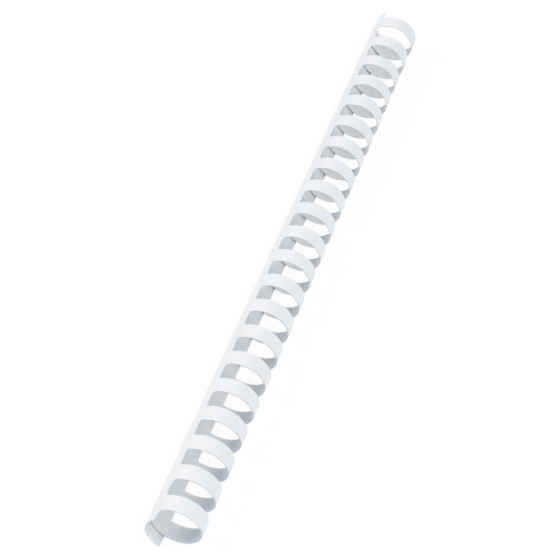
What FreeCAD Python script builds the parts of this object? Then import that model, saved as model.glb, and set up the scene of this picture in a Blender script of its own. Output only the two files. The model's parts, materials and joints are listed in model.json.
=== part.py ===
import FreeCAD, Part
import math
import os
import Sketcher

# A plastic binding comb: one long curled spine with a row of springy ring
# fingers that curl round and tuck in behind it. X runs along the spine, +Y is
# the spine's side and the comb lies on z = 0, on its rings and the spine's lip.
# Angles are in degrees about the ring axis, from +Y towards +Z.

SIZES = [
    ("ring_radius", "10.5", "outside radius of the spine and of the finger's first run"),
    ("sheet_thickness", "0.5", "thickness of the sheet everywhere"),
    ("ring_count", "21", "fingers, one for each punched hole along the page"),
    ("ring_pitch", "14.2875", "finger to finger along the spine, nine sixteenths of an inch"),
    ("ring_width", "6.8", "width of a finger, to pass a hole 8 long"),
    ("end_margin", "4.5", "spine left beyond the side of the last finger"),
    ("root_angle", "54", "window edge, where the fingers leave the spine"),
    ("stub_arc", "17.5", "run of each finger that stays stiff with the spine"),
    ("flex_angle", "134", "second flex line, where a finger's tighter curl starts"),
    ("tip_angle", "8", "where the curl ends, tucked in behind the spine"),
    ("tuck_gap", "0.12", "clear space between a tucked fingertip and the spine"),
    ("lip_angle", "36", "how far below +Y the spine goes straight as a lip"),
    ("edge_band", "5", "plain band of the window edge, below the fingers"),
    ("slit_angle", "0.3", "clearance at a flex line"),
    ("window_radius", "1.6", "rounded corner where a finger meets the spine"),
    ("lip_corner", "1.0", "rounded corner at each end of the lip"),
    ("root_corner", "0.5", "rounded corner at each end of the window edge"),
    ("tip_corner", "2.0", "rounded corners of a fingertip"),
]

# Expressions shared by the pieces, all in terms of the sheet.
INNER_RADIUS = "dims.ring_radius - dims.sheet_thickness"
# A finger's curl is tighter than its first run by just what its tip needs to
# clear the inside of the spine.
TUCK = "(dims.sheet_thickness + dims.tuck_gap)"
COIL_INSET = TUCK + " / (1 - cos(dims.tip_angle - dims.flex_angle))"
CURL_RADIUS = "dims.ring_radius - " + COIL_INSET
CURL_INNER = CURL_RADIUS + " - dims.sheet_thickness"
AXIS_Y = "-(1 + cos(dims.flex_angle)) / 2 * " + COIL_INSET
AXIS_Z = CURL_RADIUS + " - sin(dims.flex_angle) * " + COIL_INSET
CURL_Y = AXIS_Y + " + cos(dims.flex_angle) * " + COIL_INSET
CURL_Z = CURL_RADIUS
# The curved back between the lip and the window edge, in equal strips.
BACK_STRIPS = 4
BACK_STEP = "(dims.root_angle - dims.edge_band + dims.lip_angle) / %d" % BACK_STRIPS
SPINE_LENGTH = "(dims.ring_count - 1) * dims.ring_pitch + dims.ring_width + 2 * dims.end_margin"
LIP_LENGTH = "(" + AXIS_Z + " - dims.ring_radius * sin(dims.lip_angle)) / cos(dims.lip_angle)"
WINDOW_WIDTH = "dims.ring_pitch - dims.ring_width"
WINDOW_DEPTH = "dims.ring_radius * sin(dims.stub_arc) + dims.sheet_thickness"
FIRST_WINDOW = "(dims.ring_count - 1) * dims.ring_pitch / 2 - dims.ring_width / 2"
LAST_SIDE = "(dims.ring_count - 1) * dims.ring_pitch / 2 + dims.ring_width / 2"

doc = FreeCAD.newDocument("binding_comb")
dims = doc.addObject("Spreadsheet::Sheet", "dims")
for row, (alias, value, note) in enumerate(SIZES, start=1):
    dims.set("A%d" % row, alias)
    dims.set("B%d" % row, value)
    dims.setAlias("B%d" % row, alias)
    dims.set("C%d" % row, note)
doc.recompute()


def value_of(expression):
    return float(dims.evalExpression(expression))


def point(radius, degrees):
    angle = math.radians(degrees)
    return FreeCAD.Vector(radius * math.cos(angle), radius * math.sin(angle), 0)


def arc(centre, radius, start, end):
    circle = Part.Circle(centre, FreeCAD.Vector(0, 0, 1), radius)
    return Part.ArcOfCircle(circle, math.radians(start), math.radians(end))


def new_body(label):
    body = doc.addObject("PartDesign::Body", label)
    body.Label = label
    return body


def origin_plane(body, role):
    for feature in body.Origin.OriginFeatures:
        if feature.Role == role:
            return feature
    raise RuntimeError("no plane " + role)


def new_sketch(body, name, role):
    sketch = body.newObject("Sketcher::SketchObject", name)
    sketch.AttachmentSupport = [(origin_plane(body, role), "")]
    sketch.MapMode = "FlatFace"
    return sketch


def bind(sketch, name, expression, kind, *where):
    """Add a sized constraint and tie it to the sheet."""
    size = value_of(expression)
    if kind == "Angle":
        size = math.radians(size)
    index = sketch.addConstraint(Sketcher.Constraint(kind, *where, size))
    sketch.renameConstraint(index, name)
    sketch.setExpression("Constraints." + name, expression)


def join(sketch, kind, *where):
    sketch.addConstraint(Sketcher.Constraint(kind, *where))


def pad(body, name, sketch, length):
    feature = body.newObject("PartDesign::Pad", name)
    feature.Profile = sketch
    feature.SideType = "Symmetric"
    feature.setExpression("Length", length)
    sketch.Visibility = False
    return feature


def pocket(body, name, sketch):
    feature = body.newObject("PartDesign::Pocket", name)
    feature.Profile = sketch
    feature.SideType = "Symmetric"
    feature.Type = "ThroughAll"
    sketch.Visibility = False
    return feature


def round_corners(body, name, base, radius, chosen):
    """Fillet the sheet's corner edges that the chosen test picks out."""
    thickness = value_of("dims.sheet_thickness")
    names = []
    for index, edge in enumerate(base.Shape.Edges, start=1):
        straight = isinstance(edge.Curve, Part.Line)
        if straight and abs(edge.Length - thickness) < 1e-4:
            if chosen(edge.CenterOfMass):
                names.append("Edge%d" % index)
    if len(names) != 2:
        raise RuntimeError("%s found %d corners" % (name, len(names)))
    feature = body.newObject("PartDesign::Fillet", name)
    feature.Base = (base, names)
    feature.setExpression("Radius", radius)
    return feature


def place(body, x, y, z, turn="0"):
    vector = "vector(%s; %s; %s)" % (x, y, z)
    body.setExpression("Placement", "placement(%s; rotation(vector(1; 0; 0); %s))" % (vector, turn))


def sector(sketch, outer, inner, start, end, sweep_end):
    """A band between two arcs about the sketch's origin, cut square at both ends."""
    big = value_of(outer)
    small = value_of(inner)
    first = value_of(start)
    last = value_of(sweep_end)
    centre = FreeCAD.Vector(0, 0, 0)
    sketch.addGeometry(arc(centre, big, first, last))
    sketch.addGeometry(arc(centre, small, first, last))
    sketch.addGeometry(Part.LineSegment(point(small, first), point(big, first)))
    sketch.addGeometry(Part.LineSegment(point(small, last), point(big, last)))
    join(sketch, "Coincident", 0, 3, -1, 1)
    join(sketch, "Coincident", 1, 3, -1, 1)
    join(sketch, "Coincident", 2, 1, 1, 1)
    join(sketch, "Coincident", 2, 2, 0, 1)
    join(sketch, "Coincident", 3, 1, 1, 2)
    join(sketch, "Coincident", 3, 2, 0, 2)
    join(sketch, "PointOnObject", -1, 1, 2)
    join(sketch, "PointOnObject", -1, 1, 3)
    bind(sketch, "outside", outer, "Radius", 0)
    bind(sketch, "inside", inner, "Radius", 1)
    bind(sketch, "start", start, "Angle", 2)
    bind(sketch, "end", end, "Angle", 3)


def lip_section(sketch):
    """The straight lip, drawn hanging straight down from where the back ends."""
    big = value_of("dims.ring_radius")
    small = value_of(INNER_RADIUS)
    low = -value_of(LIP_LENGTH)
    vec = FreeCAD.Vector
    sketch.addGeometry(Part.LineSegment(vec(small, 0, 0), vec(big, 0, 0)))
    sketch.addGeometry(Part.LineSegment(vec(big, 0, 0), vec(big, low, 0)))
    sketch.addGeometry(Part.LineSegment(vec(big, low, 0), vec(small, low, 0)))
    sketch.addGeometry(Part.LineSegment(vec(small, low, 0), vec(small, 0, 0)))
    join(sketch, "Coincident", 0, 2, 1, 1)
    join(sketch, "Coincident", 1, 2, 2, 1)
    join(sketch, "Coincident", 2, 2, 3, 1)
    join(sketch, "Coincident", 3, 2, 0, 1)
    join(sketch, "Vertical", 1)
    join(sketch, "Vertical", 3)
    join(sketch, "Horizontal", 2)
    join(sketch, "PointOnObject", 0, 1, -1)
    join(sketch, "PointOnObject", 0, 2, -1)
    bind(sketch, "outside", "dims.ring_radius", "DistanceX", -1, 1, 0, 2)
    bind(sketch, "inside", INNER_RADIUS, "DistanceX", -1, 1, 0, 1)
    bind(sketch, "lip_run", LIP_LENGTH, "DistanceY", 1, 2, 1, 1)


def window_outline(sketch):
    """The gap between the first two fingers, with its two root corners rounded."""
    width = value_of(WINDOW_WIDTH)
    depth = value_of(WINDOW_DEPTH)
    radius = value_of("dims.window_radius")
    left = -value_of(FIRST_WINDOW)
    right = left + width
    vec = FreeCAD.Vector
    sketch.addGeometry(Part.LineSegment(vec(left + radius, 0, 0), vec(right - radius, 0, 0)))
    sketch.addGeometry(arc(vec(right - radius, -radius, 0), radius, 0, 90))
    sketch.addGeometry(Part.LineSegment(vec(right, -radius, 0), vec(right, -depth, 0)))
    sketch.addGeometry(Part.LineSegment(vec(right, -depth, 0), vec(left, -depth, 0)))
    sketch.addGeometry(Part.LineSegment(vec(left, -depth, 0), vec(left, -radius, 0)))
    sketch.addGeometry(arc(vec(left + radius, -radius, 0), radius, 90, 180))
    join(sketch, "Tangent", 0, 2, 1, 2)
    join(sketch, "Tangent", 1, 1, 2, 1)
    join(sketch, "Coincident", 2, 2, 3, 1)
    join(sketch, "Coincident", 3, 2, 4, 1)
    join(sketch, "Tangent", 4, 2, 5, 2)
    join(sketch, "Tangent", 5, 1, 0, 1)
    join(sketch, "Vertical", 2)
    join(sketch, "Vertical", 4)
    join(sketch, "Horizontal", 3)
    join(sketch, "PointOnObject", 0, 1, -1)
    join(sketch, "Equal", 1, 5)
    bind(sketch, "corner", "dims.window_radius", "Radius", 1)
    bind(sketch, "width", WINDOW_WIDTH, "DistanceX", 3, 2, 3, 1)
    bind(sketch, "depth", WINDOW_DEPTH, "DistanceY", 3, 1, -1, 1)
    bind(sketch, "first", FIRST_WINDOW, "DistanceX", 3, 2, -1, 1)


def notch_outline(sketch):
    """The open step beyond the last finger, with its root corner rounded."""
    side = value_of(LAST_SIDE)
    over = value_of(LAST_SIDE + " + 2 * dims.end_margin")
    depth = value_of(WINDOW_DEPTH)
    radius = value_of("dims.window_radius")
    vec = FreeCAD.Vector
    sketch.addGeometry(Part.LineSegment(vec(side + radius, 0, 0), vec(over, 0, 0)))
    sketch.addGeometry(Part.LineSegment(vec(over, 0, 0), vec(over, -depth, 0)))
    sketch.addGeometry(Part.LineSegment(vec(over, -depth, 0), vec(side, -depth, 0)))
    sketch.addGeometry(Part.LineSegment(vec(side, -depth, 0), vec(side, -radius, 0)))
    sketch.addGeometry(arc(vec(side + radius, -radius, 0), radius, 90, 180))
    join(sketch, "Coincident", 0, 2, 1, 1)
    join(sketch, "Coincident", 1, 2, 2, 1)
    join(sketch, "Coincident", 2, 2, 3, 1)
    join(sketch, "Tangent", 3, 2, 4, 2)
    join(sketch, "Tangent", 4, 1, 0, 1)
    join(sketch, "Vertical", 1)
    join(sketch, "Vertical", 3)
    join(sketch, "Horizontal", 2)
    join(sketch, "PointOnObject", 0, 1, -1)
    join(sketch, "PointOnObject", 0, 2, -1)
    bind(sketch, "corner", "dims.window_radius", "Radius", 4)
    bind(sketch, "depth", WINDOW_DEPTH, "DistanceY", 2, 1, -1, 1)
    bind(sketch, "side", LAST_SIDE, "DistanceX", -1, 1, 2, 2)
    bind(sketch, "over", LAST_SIDE + " + 2 * dims.end_margin", "DistanceX", -1, 1, 2, 1)


def at_end(spot):
    return abs(abs(spot.x) - value_of(SPINE_LENGTH) / 2) < 1e-3


def build_lip():
    """The spine's straight lower edge, which the comb lies on."""
    body = new_body("spine_lip")
    section = new_sketch(body, "lip_section", "YZ_Plane")
    lip_section(section)
    strip = pad(body, "lip_strip", section, SPINE_LENGTH)
    doc.recompute()

    def at_tip(spot):
        return at_end(spot) and spot.z < -1e-3

    body.Tip = round_corners(body, "lip_corners", strip, "dims.lip_corner", at_tip)
    place(body, "0", AXIS_Y, AXIS_Z, "-dims.lip_angle")
    return body


def build_back_strip(index):
    """One plain strip of the spine's curved back, counted up from the lip."""
    label = "spine_back_%02d" % (index + 1)
    body = new_body(label)
    section = new_sketch(body, label + "_section", "YZ_Plane")
    end = "90 + " + BACK_STEP
    sector(section, "dims.ring_radius", INNER_RADIUS, "90", end, end)
    body.Tip = pad(body, label + "_strip", section, SPINE_LENGTH)
    turn = "%d * %s - dims.lip_angle - 90" % (index, BACK_STEP)
    place(body, "0", AXIS_Y, AXIS_Z, turn)
    return body


def build_window_edge():
    """The spine's upper edge, with the windows and the stiff stubs of the fingers."""
    body = new_body("spine_edge")
    section = new_sketch(body, "spine_edge_section", "YZ_Plane")
    end = "90 + dims.stub_arc"
    sector(section, "dims.ring_radius", INNER_RADIUS, "90 - dims.edge_band", end, end)
    pad(body, "spine_edge_strip", section, SPINE_LENGTH)

    outline = new_sketch(body, "window_outline", "XY_Plane")
    window_outline(outline)
    window = pocket(body, "window", outline)
    row = body.newObject("PartDesign::LinearPattern", "window_row")
    row.Originals = [window]
    row.Direction = (outline, ["H_Axis"])
    row.setExpression("Length", "(dims.ring_count - 2) * dims.ring_pitch")
    row.setExpression("Occurrences", "dims.ring_count - 1")
    body.Tip = row

    step = new_sketch(body, "notch_outline", "XY_Plane")
    notch_outline(step)
    notch = pocket(body, "notch", step)
    both = body.newObject("PartDesign::Mirrored", "notch_pair")
    both.Originals = [notch]
    both.MirrorPlane = (origin_plane(body, "YZ_Plane"), [""])
    body.Tip = both
    doc.recompute()

    def at_root(spot):
        return at_end(spot) and abs(spot.y) < 1e-3

    body.Tip = round_corners(body, "root_corners", both, "dims.root_corner", at_root)
    place(body, "0", AXIS_Y, AXIS_Z, "dims.root_angle - 90")
    return body


def ring_position(index):
    return "(%d - (dims.ring_count - 1) / 2) * dims.ring_pitch" % index


def build_finger_root(index):
    """First run of a finger, between its two flex lines."""
    label = "finger_root_%02d" % (index + 1)
    body = new_body(label)
    section = new_sketch(body, label + "_section", "YZ_Plane")
    start = "dims.root_angle + dims.stub_arc + dims.slit_angle"
    sector(section, "dims.ring_radius", INNER_RADIUS, start, "dims.flex_angle", "dims.flex_angle")
    body.Tip = pad(body, label + "_run", section, "dims.ring_width")
    place(body, ring_position(index), AXIS_Y, AXIS_Z)
    return body


def build_finger_curl(index):
    """The rest of a finger: down the open side, under and up behind the spine."""
    label = "finger_curl_%02d" % (index + 1)
    body = new_body(label)
    section = new_sketch(body, label + "_section", "YZ_Plane")
    start = "dims.flex_angle + dims.slit_angle"
    sector(section, CURL_RADIUS, CURL_INNER, start, "dims.tip_angle", "dims.tip_angle + 360")
    run = pad(body, label + "_run", section, "dims.ring_width")
    doc.recompute()
    tip = math.radians(value_of("dims.tip_angle"))

    def at_tip(spot):
        return abs(math.atan2(spot.z, spot.y) - tip) < 1e-3

    body.Tip = round_corners(body, label + "_tip", run, "dims.tip_corner", at_tip)
    place(body, ring_position(index), CURL_Y, CURL_Z)
    return body


bodies = [build_lip()]
for strip_number in range(BACK_STRIPS):
    bodies.append(build_back_strip(strip_number))
bodies.append(build_window_edge())
for number in range(int(value_of("dims.ring_count"))):
    bodies.append(build_finger_root(number))
    bodies.append(build_finger_curl(number))
doc.recompute()

for item in doc.Objects:
    if "Invalid" in item.State or "Error" in item.State:
        raise RuntimeError("%s did not rebuild" % item.Label)
for body in bodies:
    if body.Shape.isNull() or not body.Shape.isValid():
        raise RuntimeError("%s has no valid shape" % body.Label)
    if len(body.Shape.Solids) != 1:
        raise RuntimeError("%s is not one solid" % body.Label)

os.makedirs("parts", exist_ok=True)
for body in bodies:
    body.Shape.exportStep("parts/%s.step" % body.Label)
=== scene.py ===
# %% [markdown]
# # A plastic binding comb
# The comb holds punched pages together. It is one strip of white PVC sheet: a die cuts
# the flat outline, and heat curls it into a long spine with a row of springy fingers.
# This lesson makes it the same way. Each piece is cut flat, its edge is rounded, it is
# ruled across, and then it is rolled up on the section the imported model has.

import json
import math

import bmesh
import bpy
from mathutils import Matrix, Vector

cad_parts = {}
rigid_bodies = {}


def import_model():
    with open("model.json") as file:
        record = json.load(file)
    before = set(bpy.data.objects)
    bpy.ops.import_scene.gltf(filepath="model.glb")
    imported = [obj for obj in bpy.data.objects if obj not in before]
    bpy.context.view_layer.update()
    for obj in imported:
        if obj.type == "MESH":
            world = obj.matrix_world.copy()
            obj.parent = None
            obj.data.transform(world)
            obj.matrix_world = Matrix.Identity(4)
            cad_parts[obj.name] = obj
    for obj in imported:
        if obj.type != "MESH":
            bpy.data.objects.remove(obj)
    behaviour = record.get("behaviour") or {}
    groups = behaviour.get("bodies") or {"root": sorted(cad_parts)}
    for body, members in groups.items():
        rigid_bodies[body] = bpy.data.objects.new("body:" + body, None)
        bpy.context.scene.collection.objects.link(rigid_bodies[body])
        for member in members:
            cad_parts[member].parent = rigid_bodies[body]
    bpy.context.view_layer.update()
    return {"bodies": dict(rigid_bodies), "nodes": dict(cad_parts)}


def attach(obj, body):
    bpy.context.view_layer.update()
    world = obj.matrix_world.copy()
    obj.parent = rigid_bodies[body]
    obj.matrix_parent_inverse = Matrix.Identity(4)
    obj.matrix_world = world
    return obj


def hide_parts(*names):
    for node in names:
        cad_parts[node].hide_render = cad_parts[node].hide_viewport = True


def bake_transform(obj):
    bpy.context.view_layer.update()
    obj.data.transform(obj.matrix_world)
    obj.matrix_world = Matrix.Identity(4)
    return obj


ROOT_BODY, CURL_BODY = "finger_root_", "finger_curl_"

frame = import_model()
ring_names = sorted(name[len(ROOT_BODY):] for name in frame["bodies"] if name.startswith(ROOT_BODY))
print("rings on the comb:", len(ring_names))

# %% [markdown]
# ## The rolled section
# Seen from its end the comb is a spiral. The spine is an arc with a straight flared
# lip below, and a finger carries on from the spine's upper edge, then curls a little
# tighter so that its tip can tuck in behind. A curve object with a bevel could draw
# that, but it can't carry the windows. So the section is written as a function that
# rolls a flat sheet: a place on the sheet is x along the comb, s along the roll and
# a depth under the outside. Sizes are in millimetres and angles in degrees about the
# ring axis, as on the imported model.

# %% Sizes of the section
MM = 0.001
RING_RADIUS = 10.5
SHEET = 0.5
TUCK_GAP = 0.12
LIP_ANGLE = -36.0
ROOT_ANGLE = 54.0
FLEX_ANGLE = 134.0
TIP_ANGLE = 368.0

# The curl is set in from the ring axis until its tip clears the inside of the spine.
flex = math.radians(FLEX_ANGLE)
coil_inset = (SHEET + TUCK_GAP) / (1 - math.cos(math.radians(TIP_ANGLE) - flex))
curl_radius = RING_RADIUS - coil_inset
axis_y = -coil_inset * (1 + math.cos(flex)) / 2
axis_z = curl_radius - coil_inset * math.sin(flex)
curl_y = axis_y + coil_inset * math.cos(flex)
curl_z = curl_radius
print("radius of the curl, mm:", round(curl_radius, 2))

# %% Roll a place on the sheet


def run_to(angle):
    """How far along the roll an angle about the ring axis is, measured on the outside."""
    if angle <= FLEX_ANGLE:
        return RING_RADIUS * math.radians(angle)
    return RING_RADIUS * flex + curl_radius * math.radians(angle - FLEX_ANGLE)


LIP_START = run_to(LIP_ANGLE)
ROOT_RUN = run_to(ROOT_ANGLE)
FLEX_RUN = run_to(FLEX_ANGLE)
TIP_RUN = run_to(TIP_ANGLE)
# The lip runs straight on from the arc until it meets the floor.
lip_slope = math.radians(LIP_ANGLE)
LIP_END = LIP_START - (axis_z + RING_RADIUS * math.sin(lip_slope)) / math.cos(lip_slope)


def section(s):
    """The place on the outside at s, the way along the roll there, and the way out."""
    if s > FLEX_RUN:
        angle = flex + (s - FLEX_RUN) / curl_radius
        centre, radius = Vector((0, curl_y, curl_z)), curl_radius
    else:
        angle = max(s, LIP_START) / RING_RADIUS
        centre, radius = Vector((0, axis_y, axis_z)), RING_RADIUS
    out = Vector((0, math.cos(angle), math.sin(angle)))
    along = Vector((0, -math.sin(angle), math.cos(angle)))
    return centre + out * radius + along * min(s - LIP_START, 0.0), along, out


def roll(flat):
    """A place on the flat sheet (x, s, minus its depth) carried to the rolled comb."""
    place, _, out = section(flat[1])
    return (place + out * flat[2] + Vector((flat[0], 0, 0))) * MM


print("sheet width unrolled, mm:", round(TIP_RUN - LIP_END, 1))

# %% [markdown]
# ## The rounded rim
# A die leaves a clean edge that is rounded by about a tenth of a millimetre. A Bevel
# modifier could round it, but then the flat faces pick up bent shading. So the rim is
# made as a few loops, with the true facing of every point kept beside it. The outline
# of a piece is a list of points. Each has its place on the sheet, the way the edge
# faces there, and whether a seam runs from it to the next point.

# %% Round the rim
EDGE_ROUND = 0.12
RIM_TURNS = (90, 60, 30, 0)


def rim_profile():
    """(inset, depth, sideways facing, outward facing) round the rim of the sheet."""
    upper = []
    for degrees in RIM_TURNS:
        side, face = math.cos(math.radians(degrees)), math.sin(math.radians(degrees))
        upper.append((EDGE_ROUND * (1 - side), EDGE_ROUND * (1 - face), side, face))
    lower = [(inset, SHEET - depth, side, -face) for inset, depth, side, face in reversed(upper)]
    return upper + lower


def arc_points(x, s, radius, start, end, steps, hollow=False):
    """Outline points round a corner; a hollow corner faces its own centre."""
    sign = -1 if hollow else 1
    points = []
    for i in range(steps + 1):
        turn = math.radians(start + (end - start) * i / steps)
        across, up = math.cos(turn), math.sin(turn)
        points.append((x + radius * across, s + radius * up, sign * across, sign * up, False))
    return points


print("points round the rim:", len(rim_profile()))

# %% [markdown]
# ## Rolling a piece
# Heat sets the real sheet in its curl. A Simple Deform modifier can bend a mesh, but
# only to one round arc, and this section has a straight lip and two radii. So each
# point is carried over by the section itself. The kept facings turn with it and become
# the mesh's normals, so the roll looks smooth right up to its edge. The flat place of
# every point stays on the mesh as an attribute, for the materials to find.

# %% Roll a piece
SHEET_PLACE, FACING, SQUARE_END = "sheet", "facing", "square_end"


def roll_mesh(name, mesh):
    """Roll the flat mesh, keep its flat place for the materials, and set its normals."""
    flat = [v.co.copy() for v in mesh.vertices]
    sheet = mesh.attributes.new(SHEET_PLACE, "FLOAT_VECTOR", "POINT")
    for i, co in enumerate(flat):
        sheet.data[i].vector = co
        mesh.vertices[i].co = roll(co)
    kept = [Vector(item.vector) for item in mesh.attributes[FACING].data]
    square = [item.value for item in mesh.attributes[SQUARE_END].data]
    mesh.update()
    normals = [None] * len(mesh.loops)
    for face in mesh.polygons:
        face.use_smooth = True
        for index in face.loop_indices:
            vert = mesh.loops[index].vertex_index
            _, along, out = section(flat[vert].y)
            turned = Vector((kept[vert].x, 0, 0)) + along * kept[vert].y + out * kept[vert].z
            normals[index] = face.normal.copy() if square[face.index] else turned.normalized()
    mesh.attributes.remove(mesh.attributes[FACING])
    mesh.attributes.remove(mesh.attributes[SQUARE_END])
    mesh.normals_split_custom_set(normals)
    piece = bpy.data.objects.new(name, mesh)
    bpy.context.scene.collection.objects.link(piece)
    return piece


print("the flat place is kept as:", SHEET_PLACE)

# %% [markdown]
# ## Cutting a piece
# The die cuts the strip in one stroke. Here an outline becomes a thin flat mesh, with
# the rounded rim all round. Its two big faces couldn't roll, so straight cuts rule them
# into narrow bands first. A Subdivision modifier makes bands too, but it would soften
# the corners. Where two pieces meet on a finger the outline has a seam: a plain square
# end, with no rounding, that butts against the next piece.

# %% Rule the sheet into bands
BAND_ANGLE = 2.5
RULE_MARGIN = 0.05
RULE_SNAP = 1e-4


def rule_bands(bm):
    """Cut straight across the sheet often enough for the roll to be smooth."""
    runs = [v.co.y for v in bm.verts]
    low, high = min(runs) + RULE_MARGIN, max(runs) - RULE_MARGIN
    step = RING_RADIUS * math.radians(BAND_ANGLE)
    for i in range(1, int((TIP_RUN - LIP_START) / step)):
        s = LIP_START + i * step
        if low < s < high:
            everything = bm.verts[:] + bm.edges[:] + bm.faces[:]
            bmesh.ops.bisect_plane(
                bm, geom=everything, dist=RULE_SNAP, plane_co=(0, s, 0), plane_no=(0, 1, 0)
            )


print("bands in a whole turn:", round(360 / BAND_ANGLE))

# %% Cut a piece
CUT_EDGE_SLOT = 1


def cut_sheet(name, outline):
    """Cut, rule and roll one piece. Outline rows are (x, s, facing x, facing s, seam next)."""
    bm = bmesh.new()
    facing = bm.verts.layers.float_vector.new(FACING)
    square_end = bm.faces.layers.int.new(SQUARE_END)
    columns = []
    for x, s, facing_x, facing_s, _ in outline:
        column = []
        for inset, depth, side, face in rim_profile():
            vert = bm.verts.new((x - facing_x * inset, s - facing_s * inset, -depth))
            vert[facing] = (facing_x * side, facing_s * side, face)
            column.append(vert)
        columns.append(column)
    bm.faces.new([column[0] for column in columns])
    bm.faces.new([column[-1] for column in reversed(columns)])
    for i, column in enumerate(columns):
        after = columns[(i + 1) % len(columns)]
        seam_next = outline[i][-1]
        if seam_next:
            bm.faces.new(column + after[::-1])[square_end] = 1
            continue
        for k in range(len(column) - 1):
            strip = (column[k], column[k + 1], after[k + 1], after[k])
            bm.faces.new(strip).material_index = CUT_EDGE_SLOT
    rule_bands(bm)
    bmesh.ops.recalc_face_normals(bm, faces=bm.faces)
    bmesh.ops.reverse_faces(bm, faces=bm.faces)
    mesh = bpy.data.meshes.new(name)
    bm.to_mesh(mesh)
    bm.free()
    return roll_mesh(name, mesh)


print("slot of the cut edge:", CUT_EDGE_SLOT)

# %% [markdown]
# ## The spine
# The spine is a long rectangle of sheet. Its lower edge is the lip, with rounded ends.
# Its upper edge is the row of windows: straight between the fingers, with a small
# hollow corner on both sides of each finger, so that it doesn't tear there. Cutting
# windows with Boolean modifiers would work too, but walking the outline once gives
# exactly the corners wanted and no stray faces. The seam with a finger crosses the
# foot of its two hollow corners.

# %% Sizes of the spine
PITCH = 14.2875
RING_WIDTH = 6.8
END_MARGIN = 4.5
WINDOW_CORNER, WINDOW_STEPS = 1.6, 4
LIP_CORNER, LIP_STEPS = 1.0, 8
ROOT_CORNER, ROOT_STEPS = 0.5, 6
SEAM_RISE = 0.4

half_ring = RING_WIDTH / 2
middle_ring = (len(ring_names) - 1) / 2
ring_x = {ring: (i - middle_ring) * PITCH for i, ring in enumerate(ring_names)}
spine_half = max(ring_x.values()) + half_ring + END_MARGIN
seam_turn = math.degrees(math.acos(1 - SEAM_RISE / WINDOW_CORNER))
print("spine length, mm:", round(2 * spine_half, 2))

# %% Cut the spine


def window_corner(x, side, start, end):
    """The hollow corner beside a finger, from 0 at the window's edge to 90 on the finger."""
    centre = x + side * (half_ring + WINDOW_CORNER)
    height = ROOT_RUN + WINDOW_CORNER
    first, last = 270 - side * start, 270 - side * end
    return arc_points(centre, height, WINDOW_CORNER, first, last, WINDOW_STEPS, hollow=True)


def seam_after(points):
    """The same points, with a seam from the last of them to whatever comes next."""
    return points[:-1] + [points[-1][:-1] + (True,)]


def spine_outline():
    """Once round the spine: along the lip, up one end, back past the windows, down again."""
    end, lip, root = spine_half, LIP_CORNER, ROOT_CORNER
    points = arc_points(lip - end, LIP_END + lip, lip, 180, 270, LIP_STEPS)
    points += arc_points(end - lip, LIP_END + lip, lip, 270, 360, LIP_STEPS)
    points += arc_points(end - root, ROOT_RUN - root, root, 0, 90, ROOT_STEPS)
    for ring in reversed(ring_names):
        points += seam_after(window_corner(ring_x[ring], 1, 0, seam_turn))
        points += window_corner(ring_x[ring], -1, seam_turn, 0)
    return points + arc_points(root - end, ROOT_RUN - root, root, 90, 180, ROOT_STEPS)


spine = cut_sheet("comb_spine", spine_outline())
print("spine faces:", len(spine.data.polygons))

# %% [markdown]
# ## The fingers
# A finger is a plain strip that ends in a rounded tip. It is springy over its whole
# length, and it bends most near the spine and at the start of its curl. An armature
# could bend one long strip, but here the imported bodies do the moving. So it has three
# pieces: the bend and the shoulder each cross one flex line of the imported model, and
# the curl between shoulder and tip keeps its shape.

# %% Cut the fingers
TIP_CORNER, TIP_STEPS = 2.0, 12
BEND_END = run_to(88)
SHOULDER_END = run_to(182)


def strip_outline(x, low, high):
    """A strip as wide as a finger, with a seam at both ends."""
    return [
        (x - half_ring, low, -1, 0, True),
        (x + half_ring, low, 1, 0, False),
        (x + half_ring, high, 1, 0, True),
        (x - half_ring, high, -1, 0, False),
    ]


def bend_outline(x, high):
    """A strip that starts in the hollow corners beside the finger."""
    points = window_corner(x, 1, seam_turn, 90)
    points += strip_outline(x, ROOT_RUN, high)[2:]
    return points + seam_after(window_corner(x, -1, 90, seam_turn))


def tip_outline(x, low, high):
    """A strip that ends in the rounded tip."""
    inner = half_ring - TIP_CORNER
    points = strip_outline(x, low, high)[:2]
    points += arc_points(x + inner, high - TIP_CORNER, TIP_CORNER, 0, 90, TIP_STEPS)
    return points + arc_points(x - inner, high - TIP_CORNER, TIP_CORNER, 90, 180, TIP_STEPS)


fingers = {}
for ring, x in ring_x.items():
    fingers[ring] = (
        cut_sheet("finger_%s_bend" % ring, bend_outline(x, BEND_END)),
        cut_sheet("finger_%s_shoulder" % ring, strip_outline(x, BEND_END, SHOULDER_END)),
        cut_sheet("finger_%s_curl" % ring, tip_outline(x, SHOULDER_END, TIP_RUN)),
    )
print("finger pieces:", sum(len(pieces) for pieces in fingers.values()))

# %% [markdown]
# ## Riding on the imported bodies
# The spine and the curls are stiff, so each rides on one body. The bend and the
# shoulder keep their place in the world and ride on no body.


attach(spine, "spine")
spine_nodes = [node for node in frame["nodes"] if node.startswith("spine_")]
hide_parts(*spine_nodes)
for ring, (bend, shoulder, curl) in fingers.items():
    root_body, curl_body = ROOT_BODY + ring, CURL_BODY + ring
    x = ring_x[ring]
    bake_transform(bend)
    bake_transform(shoulder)
    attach(curl, curl_body)
    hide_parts(root_body)
    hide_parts(root_body, curl_body)
    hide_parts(curl_body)
comb_pieces = [spine] + [piece for group in fingers.values() for piece in group]
print("pieces tied:", len(comb_pieces))

# %% [markdown]
# ## White PVC
# The sheet is rolled between polished drums, so its faces are satin, and handling marks
# them a little. The die leaves the cut edge duller. The two finishes share their grain
# and their marks, so those are node groups, built once. Every pattern is laid out on the
# flat sheet in millimetres, so it follows the finger when it bends. An image texture
# could do all this, but nodes stay sharp at any distance.

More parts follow.
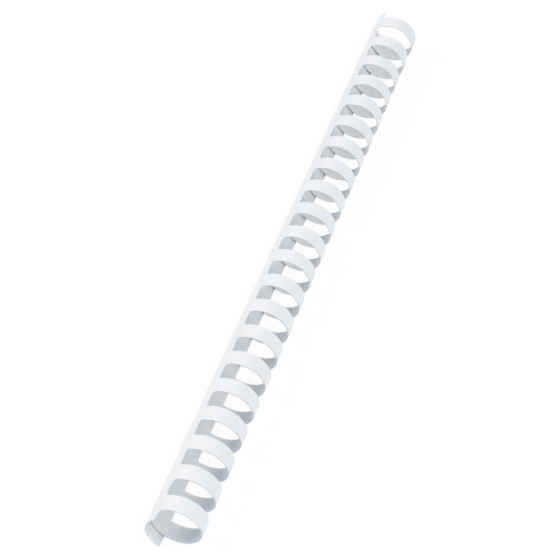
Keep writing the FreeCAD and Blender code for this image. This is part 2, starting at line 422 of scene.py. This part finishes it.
# %% Helpers for node groups
SOCKET_KINDS = {"Vector": "NodeSocketVector", "Value": "NodeSocketFloat"}


def new_group(name, inputs, outputs):
    """A node group with its named sockets; inputs are (name, kind, start value)."""
    group = bpy.data.node_groups.new(name, "ShaderNodeTree")
    for socket, kind, start in inputs:
        made = group.interface.new_socket(socket, in_out="INPUT", socket_type=SOCKET_KINDS[kind])
        if start is not None:
            made.default_value = start
    for socket in outputs:
        group.interface.new_socket(socket, in_out="OUTPUT", socket_type=SOCKET_KINDS["Value"])
    entry = group.nodes.new("NodeGroupInput")
    result = group.nodes.new("NodeGroupOutput")
    return group, entry.outputs, result.inputs


def feed(tree, socket, value):
    """Link a socket to a socket, or set it to a plain value."""
    if isinstance(value, bpy.types.NodeSocket):
        tree.links.new(value, socket)
    else:
        socket.default_value = value


print("kinds of socket:", list(SOCKET_KINDS))

# %% Helpers for patterns
RANGE_SOCKETS = ("From Min", "From Max", "To Min", "To Max")


def math_node(tree, operation, *values):
    """One Math node; each value is a number or a socket."""
    node = tree.nodes.new("ShaderNodeMath")
    node.operation = operation
    for socket, value in zip(node.inputs, values):
        feed(tree, socket, value)
    return node.outputs[0]


def stretched(tree, vector, scale=(1.0, 1.0, 1.0), shift=(0.0, 0.0, 0.0)):
    """A place scaled along the three ways of the sheet, then shifted."""
    node = tree.nodes.new("ShaderNodeMapping")
    feed(tree, node.inputs["Vector"], vector)
    node.inputs["Scale"].default_value = scale
    node.inputs["Location"].default_value = shift
    return node.outputs[0]


def noise(tree, vector, scale=1.0, detail=2.0, roughness=0.5):
    """A soft random value at a place."""
    node = tree.nodes.new("ShaderNodeTexNoise")
    feed(tree, node.inputs["Vector"], vector)
    node.inputs["Scale"].default_value = scale
    node.inputs["Detail"].default_value = detail
    node.inputs["Roughness"].default_value = roughness
    return node.outputs["Fac"]


def ramp(tree, value, low, high, to_low=0.0, to_high=1.0):
    """A value carried smoothly from one span to another."""
    node = tree.nodes.new("ShaderNodeMapRange")
    node.interpolation_type = "SMOOTHSTEP"
    for name, number in zip(RANGE_SOCKETS, (low, high, to_low, to_high)):
        node.inputs[name].default_value = number
    feed(tree, node.inputs["Value"], value)
    return node.outputs["Result"]


print("ends of a ramp:", ", ".join(RANGE_SOCKETS))

# %% [markdown]
# ## Fine grain
# The drums leave a very fine grain on the sheet, and faint lines along the comb. Both
# are too small to be worth modelling, so they are a height for a Bump node. An even
# noise gives the grain, and a noise stretched along the comb gives the lines. Each
# finish sets how strong its lines are: on the cut edge they show as the die's marks.

# %% Group: fine grain of rolled sheet
PEEL_SCALE = 2.4
DRUM_STRETCH = (0.03, 3.2, 1.0)
LINES_AT_START = 0.5

grain, grain_in, grain_out = new_group(
    "rolled_sheet_grain",
    [("Sheet", "Vector", None), ("Lines", "Value", LINES_AT_START)],
    ["Height"],
)
peel = noise(grain, grain_in["Sheet"], PEEL_SCALE, detail=3.0, roughness=0.55)
along_drum = stretched(grain, grain_in["Sheet"], DRUM_STRETCH)
drum_lines = noise(grain, along_drum, detail=3.0, roughness=0.6)
weighted = math_node(grain, "MULTIPLY", drum_lines, grain_in["Lines"])
grain.links.new(math_node(grain, "ADD", peel, weighted), grain_out["Height"])
print("group:", grain.name, "with", len(grain.nodes), "nodes")

# %% [markdown]
# ## Marks of handling
# A comb that has been in a box and in the hand has soft dull patches, a few hairline
# scuffs and some dust specks. They could be painted by hand, but a pattern covers every
# finger and never repeats. Broad noises give the patches and a slight change of tone. A
# noise stretched along the comb gives hairlines, and a second one lets them show only
# here and there. A few cells of a Voronoi texture carry one speck each.

# %% Group: marks of handling
PATCH_SCALE, PATCH_SPAN = 0.11, (0.42, 0.72)
TONE_SCALE = 0.035
SCRATCH_STRETCH, SCRATCH_SHIFT = (0.25, 7.0, 1.0), (3.0, 1.0, 0.0)
SCRATCH_SPAN = (0.70, 0.76)
WORN_SCALE, WORN_SHIFT = 0.16, (40.0, 9.0, 2.0)
WORN_SPAN = (0.52, 0.64)
SPECKS_AT_START = 0.05

marks, marks_in, marks_out = new_group(
    "handling_marks",
    [("Sheet", "Vector", None), ("Speck Share", "Value", SPECKS_AT_START)],
    ["Dull Patch", "Scuff", "Speck", "Tone"],
)
patch = noise(marks, marks_in["Sheet"], PATCH_SCALE, detail=4.0, roughness=0.6)
marks.links.new(ramp(marks, patch, *PATCH_SPAN), marks_out["Dull Patch"])
marks.links.new(noise(marks, marks_in["Sheet"], TONE_SCALE, detail=3.0), marks_out["Tone"])

scratched = stretched(marks, marks_in["Sheet"], SCRATCH_STRETCH, SCRATCH_SHIFT)
hairline = ramp(marks, noise(marks, scratched, detail=1.0), *SCRATCH_SPAN)
elsewhere = stretched(marks, marks_in["Sheet"], shift=WORN_SHIFT)
worn = ramp(marks, noise(marks, elsewhere, WORN_SCALE), *WORN_SPAN)
marks.links.new(math_node(marks, "MULTIPLY", hairline, worn), marks_out["Scuff"])
print("group:", marks.name, "puts out", ", ".join(socket.name for socket in marks_out if socket.name))

# %% Add the dust specks to the marks
SPECK_SCALE, SPECK_SPAN = 0.28, (0.022, 0.05)

cells = marks.nodes.new("ShaderNodeTexVoronoi")
cells.voronoi_dimensions = "2D"
cells.inputs["Scale"].default_value = SPECK_SCALE
marks.links.new(marks_in["Sheet"], cells.inputs["Vector"])
tone_of_cell = marks.nodes.new("ShaderNodeSeparateColor")
marks.links.new(cells.outputs["Color"], tone_of_cell.inputs["Color"])
chosen = math_node(marks, "LESS_THAN", tone_of_cell.outputs["Red"], marks_in["Speck Share"])
dot = ramp(marks, cells.outputs["Distance"], *SPECK_SPAN, to_low=1.0, to_high=0.0)
marks.links.new(math_node(marks, "MULTIPLY", chosen, dot), marks_out["Speck"])
print("group:", marks.name, "with", len(marks.nodes), "nodes")

# %% [markdown]
# ## The two finishes
# The faces of the sheet are satin and its cut edge is duller. Two materials could be
# built by hand, but they differ only in a few values. So one function makes both round
# a Principled BSDF: the marks tint the white and dull it, and the grain is its bump.

# %% Mix colours and place a group
# A Mix node has sockets for every kind of value; these are the places of its colours.
MIX_FIRST, MIX_SECOND, MIX_RESULT = 6, 7, 2


def tinted(tree, share, first, second):
    """A mix of two colours, with this share of the second."""
    node = tree.nodes.new("ShaderNodeMix")
    node.data_type = "RGBA"
    feed(tree, node.inputs["Factor"], share)
    feed(tree, node.inputs[MIX_FIRST], first)
    feed(tree, node.inputs[MIX_SECOND], second)
    return node.outputs[MIX_RESULT]


def place_group(tree, group, place):
    """A shared group set in a material, at the place on the flat sheet."""
    node = tree.nodes.new("ShaderNodeGroup")
    node.node_tree = group
    tree.links.new(place, node.inputs["Sheet"])
    return node


print("groups to place:", grain.name, marks.name)

# %% One finish of white PVC
SHEET_WHITE = (0.905, 0.927, 0.943, 1.0)
SHADED_WHITE = (0.89, 0.913, 0.931, 1.0)
DUST_GREY = (0.33, 0.33, 0.34, 1.0)
SCUFF_TINT = 0.07
SCUFF_DULLING = 0.18
PVC_IOR = 1.53


def white_pvc(name, roughness, dulling, bump_height, lines, speck_share):
    """One finish of the sheet, with its own values for the groups; bump_height is in metres."""
    material = bpy.data.materials.new(name)
    material.use_nodes = True
    tree = material.node_tree
    shader = tree.nodes["Principled BSDF"]
    shader.inputs["IOR"].default_value = PVC_IOR
    place = tree.nodes.new("ShaderNodeAttribute")
    place.attribute_name = SHEET_PLACE
    mark = place_group(tree, marks, place.outputs["Vector"])
    mark.inputs["Speck Share"].default_value = speck_share
    fine = place_group(tree, grain, place.outputs["Vector"])
    fine.inputs["Lines"].default_value = lines

    clean = tinted(tree, mark.outputs["Tone"], SHEET_WHITE, SHADED_WHITE)
    grime = math_node(tree, "MULTIPLY_ADD", mark.outputs["Scuff"], SCUFF_TINT, mark.outputs["Speck"])
    tree.links.new(tinted(tree, grime, clean, DUST_GREY), shader.inputs["Base Color"])
    dull = math_node(tree, "MULTIPLY_ADD", mark.outputs["Dull Patch"], dulling, roughness)
    rough = math_node(tree, "MULTIPLY_ADD", mark.outputs["Scuff"], SCUFF_DULLING, dull)
    tree.links.new(rough, shader.inputs["Roughness"])
    bump = tree.nodes.new("ShaderNodeBump")
    bump.inputs["Strength"].default_value = 1.0
    bump.inputs["Distance"].default_value = bump_height
    tree.links.new(fine.outputs["Height"], bump.inputs["Height"])
    tree.links.new(bump.outputs["Normal"], shader.inputs["Normal"])
    return material


print("index of refraction:", PVC_IOR)

# %% Make the two finishes
sheet_finish = white_pvc(
    "white_pvc_sheet", roughness=0.32, dulling=0.14, bump_height=0.000008, lines=0.6, speck_share=0.03
)
edge_finish = white_pvc(
    "white_pvc_cut_edge", roughness=0.48, dulling=0.08, bump_height=0.000012, lines=1.6, speck_share=0.0
)
for piece in comb_pieces:
    piece.data.materials.append(sheet_finish)
    piece.data.materials.append(edge_finish)
print("finishes:", sheet_finish.name, edge_finish.name)

# %% [markdown]
# ## The floor
# The comb lies on a plain pale floor. More light could make the floor white, but then
# the white comb would burn out. So the floor is a quiet pale surface for the light that
# bounces off it, and mostly a glow where it is looked at. A thin share of it is still
# lit there, and on that share the comb leaves its soft shadow.

# %% Lay the floor
FLOOR_HALF = 3.0

corners = [(-1, -1), (1, -1), (1, 1), (-1, 1)]
floor_mesh = bpy.data.meshes.new("floor")
floor_mesh.from_pydata([(FLOOR_HALF * x, FLOOR_HALF * y, 0.0) for x, y in corners], [], [(0, 1, 2, 3)])
floor = bpy.data.objects.new("floor", floor_mesh)
bpy.context.scene.collection.objects.link(floor)
print("floor, m across:", 2 * FLOOR_HALF)

# %% Tell the rays apart
SEEN_RAYS = ("Is Camera Ray", "Is Glossy Ray", "Is Transmission Ray")


def seen_directly(tree):
    """1 for a ray that shows the background itself, 0 for one that only carries light."""
    path = tree.nodes.new("ShaderNodeLightPath")
    camera_ray, glossy_ray, through_ray = [path.outputs[name] for name in SEEN_RAYS]
    seen = math_node(tree, "MAXIMUM", camera_ray, glossy_ray)
    return math_node(tree, "MAXIMUM", seen, through_ray)


def join_shaders(tree, kind, first, second):
    """Add or mix two shaders; returns the joining node."""
    node = tree.nodes.new(kind)
    tree.links.new(first.outputs[0], node.inputs[-2])
    tree.links.new(second.outputs[0], node.inputs[-1])
    return node


print("rays that see the background:", ", ".join(SEEN_RAYS))

# %% Finish the floor
FLOOR_PALE = (0.9, 0.9, 0.9, 1.0)
FLOOR_SHADE = 0.12
# The light on the open floor; with it, the lit share and the glow add up to white.
FLOOR_LEVEL = 0.88

floor_finish = bpy.data.materials.new("pale_floor")
floor_finish.use_nodes = True
floor_tree = floor_finish.node_tree
floor_tree.nodes.remove(floor_tree.nodes["Principled BSDF"])
plain = floor_tree.nodes.new("ShaderNodeBsdfDiffuse")
plain.inputs["Color"].default_value = FLOOR_PALE
shaded = floor_tree.nodes.new("ShaderNodeBsdfDiffuse")
shaded.inputs["Color"].default_value = (FLOOR_SHADE, FLOOR_SHADE, FLOOR_SHADE, 1.0)
glow = floor_tree.nodes.new("ShaderNodeEmission")
glow.inputs["Strength"].default_value = 1.0 - FLOOR_SHADE * FLOOR_LEVEL
looked_at = join_shaders(floor_tree, "ShaderNodeAddShader", shaded, glow)
pick = join_shaders(floor_tree, "ShaderNodeMixShader", plain, looked_at)
floor_tree.links.new(seen_directly(floor_tree), pick.inputs[0])
floor_tree.links.new(pick.outputs[0], floor_tree.nodes["Material Output"].inputs["Surface"])
floor_mesh.materials.append(floor_finish)
print("glow of the floor:", round(glow.inputs["Strength"].default_value, 3))

# %% [markdown]
# ## Light and air
# White plastic on white needs soft light with a direction, or its shape is lost. Two
# large lamps do most of it, one high over the open side and one lower on the spine's
# side, and a weak one lifts the far end. They are warm and the sky is cool, so the
# outside, which sees them all, comes out a nearly neutral white. The inside of the
# rings sees less of the lamps than of the sky, and that makes it blue-grey. One sky
# picture could light it all, but lamps are easier to move.

# %% Fill the air
FILL_COLOUR = (0.4, 0.7, 1.0, 1.0)
FILL_STRENGTH = 0.35
BACKDROP_WHITE = (1.0, 1.0, 1.0, 1.0)

world = bpy.data.worlds.new("studio_air")
bpy.context.scene.world = world
world.use_nodes = True
air = world.node_tree
fill = air.nodes["Background"]
fill.inputs["Color"].default_value = FILL_COLOUR
fill.inputs["Strength"].default_value = FILL_STRENGTH
backdrop = air.nodes.new("ShaderNodeBackground")
backdrop.inputs["Color"].default_value = BACKDROP_WHITE
backdrop.inputs["Strength"].default_value = 1.0
choose = join_shaders(air, "ShaderNodeMixShader", fill, backdrop)
air.links.new(seen_directly(air), choose.inputs[0])
air.links.new(choose.outputs[0], air.nodes["World Output"].inputs["Surface"])
print("fill strength:", FILL_STRENGTH)

# %% Hang the lamps
WARM = (1.0, 0.866, 0.741)
LAMP_AWAY = 1.15
LAMP_SIZE = 0.9
# Each lamp has its level of light on the comb, its turn from +X and its rise.
LAMPS = {
    "open_side": (0.71, 256, 53),
    "spine_side": (0.63, 100, 35),
    "far_end": (0.15, 5, 15),
}

for name, (level, turn_angle, rise_angle) in LAMPS.items():
    lamp_data = bpy.data.lights.new(name, "AREA")
    lamp_data.energy = level * (math.pi * LAMP_AWAY) ** 2
    lamp_data.size = LAMP_SIZE
    lamp_data.color = WARM
    lamp = bpy.data.objects.new(name, lamp_data)
    bpy.context.scene.collection.objects.link(lamp)
    turn, rise = math.radians(turn_angle), math.radians(rise_angle)
    sideways = math.cos(rise)
    way = Vector((sideways * math.cos(turn), sideways * math.sin(turn), math.sin(rise)))
    lamp.location = way * LAMP_AWAY
    lamp.rotation_euler = (-way).to_track_quat("-Z", "Y").to_euler()
print("lamps:", ", ".join(LAMPS))

# %% [markdown]
# ## Camera
# The camera was found by matching the outline of the comb and the corners of its
# windows, with the known spacing of the rings as the scale. It stands beyond the near
# end and a little to the open side, is almost level, and looks down at 48 degrees.

# %% Set the camera
CAMERA_AT = Vector((-0.45497, -0.14957, 0.52424))
CAMERA_RIGHT = Vector((0.31654, -0.9485, -0.01172))
CAMERA_UP = Vector((0.70868, 0.22826, 0.66759))
CAMERA_LENS = 107.2
SENSOR_WIDTH = 36.0

camera_data = bpy.data.cameras.new("camera")
camera_data.lens = CAMERA_LENS
camera_data.sensor_width = SENSOR_WIDTH
camera = bpy.data.objects.new("camera", camera_data)
bpy.context.scene.collection.objects.link(camera)
backward = CAMERA_RIGHT.cross(CAMERA_UP).normalized()
camera_turn = Matrix((CAMERA_RIGHT, backward.cross(CAMERA_RIGHT), backward)).transposed()
camera.matrix_world = Matrix.Translation(CAMERA_AT) @ camera_turn.to_4x4()
bpy.context.scene.camera = camera
bpy.context.scene.view_settings.view_transform = "Standard"
print("camera looks down by:", round(math.degrees(math.asin(backward.z))), "degrees")
